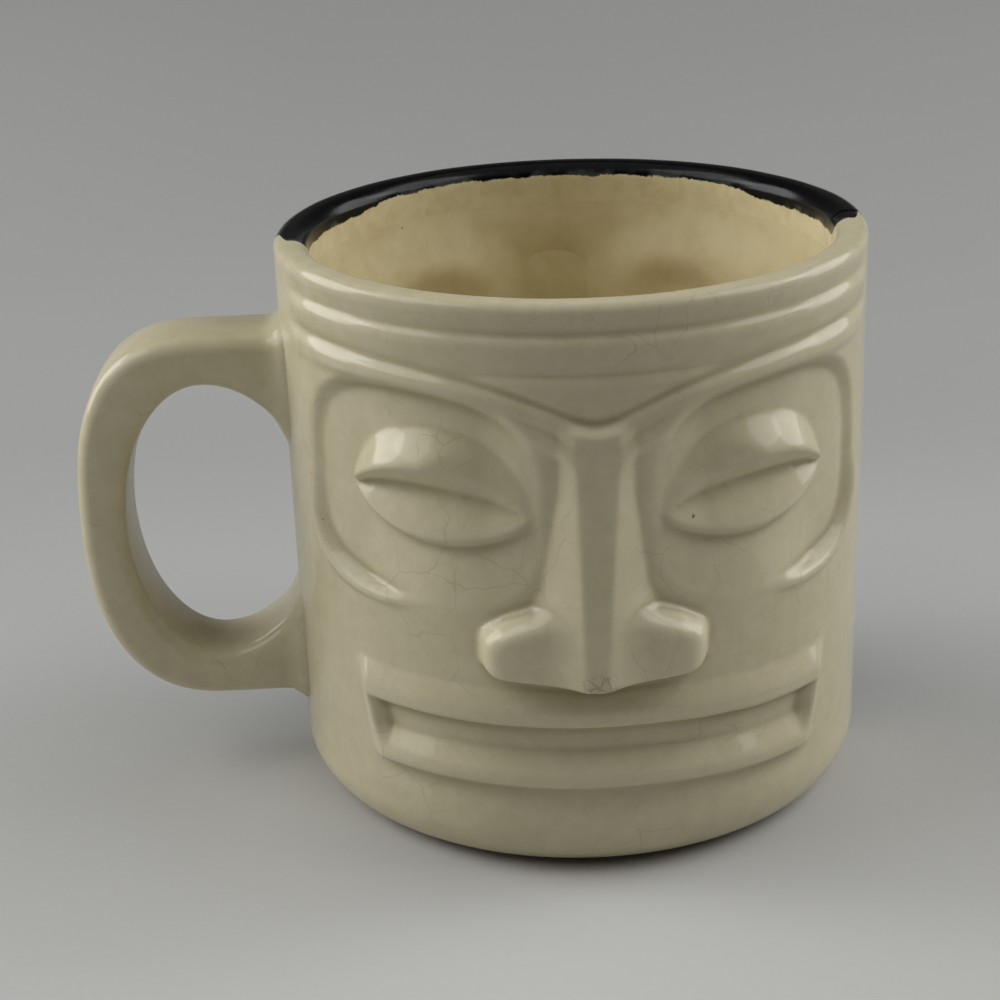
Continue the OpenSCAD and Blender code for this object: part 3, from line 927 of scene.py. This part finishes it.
def face_layer(name, form, heights, skin, turn, material):
    """Half the wall, spun from its outline, with the face pushed out of its skin."""
    bm = bmesh.new()
    verts, edges = chain(bm, face_profile(form), closed=True)
    spun = bmesh.ops.spin(
        bm, geom=verts + edges, cent=(0, 0, 0), axis=(0, 0, 1), dvec=(0, 0, 0),
        angle=-math.pi, steps=form.columns, use_merge=False)
    last = [item for item in spun["geom_last"] if isinstance(item, bmesh.types.BMEdge)]
    bmesh.ops.contextual_create(bm, geom=edges)
    bmesh.ops.contextual_create(bm, geom=last)
    bmesh.ops.recalc_face_normals(bm, faces=bm.faces)
    sharpen(bm, 35)
    painted_relief_shade = bm.verts.layers.float.new("painted_relief_shade")
    inner = form.rim_r - form.layer
    band = form.clay_in_r - 0.5 * form.liner
    for i, vert in enumerate(bm.verts):
        x, y, z = vert.co
        r = math.hypot(x, y)
        r_new = r
        wobble = hand_wobble(vert.co)
        if r > inner and z < form.height:
            u, tall = math.atan2(x, -y) * LAYOUT_R, z / MM
            if i not in skin:
                skin[i] = face_height(u, tall, form)
            # painted shade and highlight mask: blurred face minus sharp face, above 0 in grooves and
            # hollows, below 0 on ridges
            vert[painted_relief_shade] = heights.sample(heights.near, u, tall) - skin[i]
            r_new += skin[i] * MM + wobble * line(0, 4, tall)
        elif r < band:
            r_new += wall_wave(form, heights, math.atan2(x, -y) + turn, z)
        vert.co.x, vert.co.y = x * r_new / r, y * r_new / r
        if z > form.height - 3 * MM:
            vert.co.z += 1.6 * wobble
    moulded = [v for v in bm.verts if v.co.y < -6 * MM and math.hypot(v.co.x, v.co.y) > inner
               and 10 * MM < v.co.z < form.height - 2.5 * MM]
    for _ in range(form.softening):
        bmesh.ops.smooth_vert(bm, verts=moulded, factor=0.5, use_axis_x=True, use_axis_y=True,
                              use_axis_z=False)
    if turn:
        bmesh.ops.rotate(bm, verts=bm.verts, cent=(0, 0, 0), matrix=Matrix.Rotation(turn, 3, "Z"))
    return new_piece(name, bm, [material])


def move_inner_wall(bm, form, heights, limit):
    """Pushes the wall inside the cup about, so that it follows the moulded face."""
    painted_relief_shade = bm.verts.layers.float.new("painted_relief_shade")
    for vert in bm.verts:
        x, y, z = vert.co
        r = math.hypot(x, y)
        if r < form.clay_in_r - 14 * MM or r > limit or z < form.floor:
            continue
        wave = wall_wave(form, heights, math.atan2(x, -y), z)
        # painted shade mask inside the cup: the wall's wave depth, above 0 where the wall sinks outwards
        # into a hollow
        vert[painted_relief_shade] = wave / MM
        r_new = r + wave
        vert.co.x, vert.co.y = x * r_new / r, y * r_new / r


def liner_piece(form, heights, colours):
    """The glazed skin of the drinking space."""
    cavity = form.clay_in_r - form.liner
    small = form.floor_round - form.liner
    under = form.floor - form.liner
    wall_rows = 70
    low = form.floor + small
    points = [(0.0, under)]
    points += arc(form.clay_in_r - form.floor_round, under + form.floor_round,
                  form.floor_round, -90, 0, 14)
    points += [(form.clay_in_r, form.band_low), (cavity, form.band_low)]
    points += [(cavity, form.band_low + (low - form.band_low) * i / wall_rows)
               for i in range(1, wall_rows)]
    points += arc(cavity - small, low, small, 0, -90, 16)
    points += [((cavity - small) * (1 - i / 8), form.floor) for i in range(1, 9)]
    bm = bmesh.new()
    spin_full(bm, points, form.columns)
    sharpen(bm, 35)
    move_inner_wall(bm, form, heights, cavity + 0.1 * MM)
    return new_piece("tan_liner", bm, [liner_material(colours)])


def clay_piece(form, heights, colours):
    """The plain clay cup, of which only the foot shows."""
    base_r = form.rim_r - form.taper
    clay_out = base_r - form.layer
    ledge = base_r - form.base_round + LEDGE_IN
    under = form.floor - form.liner
    foot_end = math.degrees(math.acos((form.base_round - form.glaze_line) / form.base_round))
    recess_in = form.recess_r - 2 * RECESS_ROUND
    points = [(0.0, form.recess), (recess_in, form.recess)]
    points += arc(recess_in, form.recess - RECESS_ROUND, RECESS_ROUND, 90, 0, 4)
    points += arc(form.recess_r + 0.25 * MM, FOOT_ROUND, FOOT_ROUND, 180, 270, 5)
    points += arc(base_r - form.base_round, form.base_round, form.base_round, -90, foot_end - 90, 7)
    points += [(ledge, form.glaze_line), (clay_out, form.base_round + LEDGE_UP), (clay_out, form.clay_top)]
    points += [(form.clay_in_r, form.clay_top)]
    low = under + form.floor_round
    points += [(form.clay_in_r, form.clay_top + (low - form.clay_top) * i / 40) for i in range(1, 40)]
    points += arc(form.clay_in_r - form.floor_round, low, form.floor_round, 0, -90, 12)
    points += [(0.0, under)]
    bm = bmesh.new()
    spin_full(bm, points, 180)
    sharpen(bm, 50)
    move_inner_wall(bm, form, heights, form.clay_in_r + 0.1 * MM)
    return new_piece("clay_foot_and_cup", bm, [clay_material(colours)])


def strap_stations(form, handle):
    """Pairs of points, on the finger gap and on the outside, from the top root round to the lower."""
    mid_x = form.rim_r + handle.gap_mid
    outer_a = handle.reach - mid_x
    gap_a = outer_a - handle.thick
    up = handle.thick + 0.3 * MM
    down = handle.thick + 0.1 * MM
    gap_b = (handle.high - handle.low - up - down) / 2
    mid_z = handle.low + down + gap_b
    root = handle.gap_mid + 2.5 * MM
    stations = []
    count = 14
    for side, arm in ((1, up), (-1, down)):
        arms = []
        for i in range(count):
            x = root * (1 - (i / count)) if side > 0 else root * ((i + 1) / count)
            gap_z = mid_z + side * gap_b * math.sqrt(1 - (x / handle.flare) ** 2)
            arms.append(((x - mid_x, gap_z), (x - mid_x, mid_z + side * (gap_b + arm))))
        if side > 0:
            stations += arms
            stations += strap_arch(mid_x, mid_z, gap_a, outer_a, gap_b, up, down)
        else:
            stations += arms
    return stations


def strap_arch(mid_x, mid_z, gap_a, outer_a, gap_b, up, down):
    """The round part of the strap: an ellipse inside and a squarer oval outside."""
    pairs = []
    steps = 72
    for i in range(steps + 1):
        a = math.radians(90 + 180 * i / steps)
        c, s = math.cos(a), math.sin(a)
        square, arm = (2.7, up) if s > 0 else (2.35, down)
        ox = math.copysign(abs(c) ** (2 / square), c) * outer_a
        oz = math.copysign(abs(s) ** (2 / square), s) * (gap_b + arm)
        pairs.append(((gap_a * c - mid_x, mid_z + gap_b * s), (ox - mid_x, mid_z + oz)))
    return pairs


def strap_ring(bm, pair, form, handle):
    """One rounded rectangle across the strap, flared where it meets the wall."""
    inner, outer = Vector(pair[0]), Vector(pair[1])
    span = (outer - inner).length
    way = (outer - inner).normalized()
    mid = (inner + outer) / 2
    gap = max(0.0, -mid.x - form.rim_r)
    near = clamp(1 - gap / (1.5 * handle.fillet))
    flare = handle.fillet * near ** 2.5 if abs(way.x) < 0.3 else 0.0
    half_span, half_deep = span / 2 + flare, handle.depth / 2 + flare
    edge = min(handle.edge + flare, half_span * 0.95)
    ring = bmesh.ops.create_circle(bm, cap_ends=False, radius=edge, segments=40)["verts"]
    for vert in ring:
        a, b = vert.co.x, vert.co.y
        a += math.copysign(half_span - edge, a) if abs(a) > 1e-9 else 0.0
        b += math.copysign(half_deep - edge, b) if abs(b) > 1e-9 else 0.0
        # the strap's broad faces are slightly crowned, and the roots follow the round wall
        crown = 0.25 * MM * (1 - min(1.0, abs(b) / half_deep) ** 2)
        a += math.copysign(crown, a)
        wrap = form.rim_r - math.sqrt(max(form.rim_r ** 2 - b * b, 0.0))
        root = clamp(1 - (-mid.x - form.rim_r + 2 * MM) / (6 * MM))
        x = mid.x + way.x * a + wrap * root
        z = mid.y + way.y * a
        vert.co = Vector((x, b, z))
    return ring


def handle_piece(form, handle, colours):
    """The strap handle: rings bridged along the loop."""
    bm = bmesh.new()
    rings = [strap_ring(bm, pair, form, handle) for pair in strap_stations(form, handle)]
    for ring in (rings[0], rings[-1]):
        bmesh.ops.contextual_create(bm, geom=ring)
    loops = [[e for e in bm.edges if e.verts[0] in set(ring) and e.verts[1] in set(ring)]
             for ring in rings]
    for first, second in zip(loops, loops[1:]):
        bmesh.ops.bridge_loops(bm, edges=first + second)
    bmesh.ops.recalc_face_normals(bm, faces=bm.faces)
    bm.normal_update()
    for vert in bm.verts:
        vert.co += vert.normal * 1.4 * hand_wobble(vert.co)
    material = glaze_graph("handle_glaze", colours, is_handle=True)
    return new_piece("strap_handle", bm, [material])


# ---- operators ----

class TIKI_OT_face_layers(bpy.types.Operator):
    """Make the ivory and the black half of the moulded wall"""

    bl_idname = "tiki.face_layers"
    bl_label = "Face layers"

    def execute(self, context):
        form, colours = context.scene.tiki_form, context.scene.tiki_colours
        heights = HeightMap(form)
        material = glaze_graph("two_tone_glaze", colours, is_handle=False)
        halves = (("ivory_face_layer", "ivory_face", "ivory_glaze", 0.0),
                  ("black_face_layer", "black_face", "black_glaze", math.pi))
        skin = {}
        for name, node, slot, turn in halves:
            piece = face_layer(name, form, heights, skin, turn, material)
            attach(piece, "root")
            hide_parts(node)
        return {"FINISHED"}


class TIKI_OT_cup(bpy.types.Operator):
    """Make the liner and the clay cup with its foot"""

    bl_idname = "tiki.cup"
    bl_label = "Liner and clay cup"

    def execute(self, context):
        form, colours = context.scene.tiki_form, context.scene.tiki_colours
        heights = HeightMap(form)
        liner = liner_piece(form, heights, colours)
        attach(liner, "root")
        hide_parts("liner_glaze")
        clay = clay_piece(form, heights, colours)
        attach(clay, "root")
        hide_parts("clay_cup")
        return {"FINISHED"}


class TIKI_OT_handle(bpy.types.Operator):
    """Make the strap handle"""

    bl_idname = "tiki.handle"
    bl_label = "Handle"

    def execute(self, context):
        scene = context.scene
        handle = handle_piece(scene.tiki_form, scene.tiki_handle, scene.tiki_colours)
        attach(handle, "root")
        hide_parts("handle")
        return {"FINISHED"}


# name, azimuth from the face towards +X, elevation, distance, width and height in metres, power
SOFTBOXES = (
    ("left_rear_box", -112, 20, 1.2, (0.8, 0.8), 8.2),
    ("right_rear_box", 112, 20, 1.2, (0.8, 0.8), 5.6),
    ("left_box", -85, 42, 1.2, (0.8, 0.8), 4.7),
    ("right_box", 86, 42, 1.2, (0.8, 0.8), 5.0),
    ("ceiling_panel", 0, 84, 1.2, (2.0, 2.0), 3.6),
)
LIGHT_AIM = (0.0, 0.0, 0.045)


def area_light(name, azimuth, elevation, distance, size, power):
    """A soft rectangular light that looks at the mug."""
    lamp = bpy.data.lights.new(name, "AREA")
    lamp.shape = "RECTANGLE"
    lamp.size, lamp.size_y = size
    lamp.energy = power
    lit = bpy.data.objects.new(name, lamp)
    flat = math.cos(math.radians(elevation))
    turn = math.radians(azimuth)
    away = Vector((math.sin(turn) * flat, -math.cos(turn) * flat, math.sin(math.radians(elevation))))
    lit.location = Vector(LIGHT_AIM) + away * distance
    lit.rotation_euler = away.to_track_quat("Z", "Y").to_euler()
    bpy.context.scene.collection.objects.link(lit)


def make_sweep(colour):
    """A floor that curves up into a backdrop, extruded from its side profile."""
    bm = bmesh.new()
    points = [(SWEEP_FRONT, 0.0), (SWEEP_BACK, 0.0)]
    points += [(SWEEP_BACK + SWEEP_CURVE * math.sin(a), SWEEP_CURVE - SWEEP_CURVE * math.cos(a))
               for a in [math.radians(6 * i) for i in range(1, 15)]]
    points += [SWEEP_END]
    verts = [bm.verts.new((-SWEEP_HALF, y, z)) for y, z in points]
    edges = [bm.edges.new(pair) for pair in zip(verts, verts[1:])]
    grown = bmesh.ops.extrude_edge_only(bm, edges=edges)["geom"]
    far = [item for item in grown if isinstance(item, bmesh.types.BMVert)]
    bmesh.ops.translate(bm, verts=far, vec=(2 * SWEEP_HALF, 0, 0))
    bmesh.ops.recalc_face_normals(bm, faces=bm.faces)
    sweep = new_piece("sweep", bm, [sweep_material(colour)])


class TIKI_OT_studio(bpy.types.Operator):
    """Make the sweep, the soft lights and the camera"""

    bl_idname = "tiki.studio"
    bl_label = "Studio"

    def execute(self, context):
        studio = context.scene.tiki_studio
        make_sweep(studio.sweep)
        for box in SOFTBOXES:
            area_light(*box)
        world = bpy.data.worlds.new("soft_room")
        world.use_nodes = True
        world.node_tree.nodes["Background"].inputs["Color"].default_value = (0.95, 0.97, 1.0, 1)
        world.node_tree.nodes["Background"].inputs["Strength"].default_value = 0.04
        context.scene.world = world
        context.scene.view_settings.view_transform = "Standard"
        self.aim_camera(context.scene, studio)
        return {"FINISHED"}

    def aim_camera(self, scene, studio):
        data = bpy.data.cameras.new("camera")
        data.lens = studio.lens
        data.sensor_width = 36.0
        data.clip_start = 0.01
        camera = bpy.data.objects.new("camera", data)
        turn = Matrix.Rotation(-studio.azimuth, 3, "Z")
        flat, tall = math.cos(studio.elevation), math.sin(studio.elevation)
        back = turn @ Vector((0, -flat, tall))
        right = turn @ Vector((1, 0, 0))
        up = turn @ Vector((0, tall, flat))
        c, s = math.cos(studio.roll), math.sin(studio.roll)
        right, up = right * c + up * s, up * c - right * s
        place = Vector(studio.aim) + back * studio.distance
        axes = Matrix((right, up, back)).transposed()
        camera.matrix_world = Matrix.Translation(place) @ axes.to_4x4()
        scene.collection.objects.link(camera)
        scene.camera = camera


class TIKI_PT_mug(bpy.types.Panel):
    """Lists the mug's pieces and the studio"""

    bl_idname = "TIKI_PT_mug"
    bl_label = "Tiki mug"
    bl_space_type = "VIEW_3D"
    bl_region_type = "UI"
    bl_category = "Tiki mug"

    def draw(self, context):
        for operator in OPERATORS:
            self.layout.operator(operator.bl_idname)


SETTINGS = {
    "tiki_form": MugForm,
    "tiki_handle": HandleForm,
    "tiki_colours": GlazeColours,
    "tiki_studio": StudioForm,
}
OPERATORS = (TIKI_OT_face_layers, TIKI_OT_cup, TIKI_OT_handle, TIKI_OT_studio)
CLASSES = (*SETTINGS.values(), *OPERATORS, TIKI_PT_mug)


def register():
    for cls in CLASSES:
        bpy.utils.register_class(cls)
    for name, group in SETTINGS.items():
        setattr(bpy.types.Scene, name, PointerProperty(type=group))


def unregister():
    for name in SETTINGS:
        delattr(bpy.types.Scene, name)
    for cls in reversed(CLASSES):
        bpy.utils.unregister_class(cls)


def main():
    register()
    bpy.ops.tiki.face_layers()
    bpy.ops.tiki.cup()
    bpy.ops.tiki.handle()
    bpy.ops.tiki.studio()


if __name__ == "__main__":
    main()
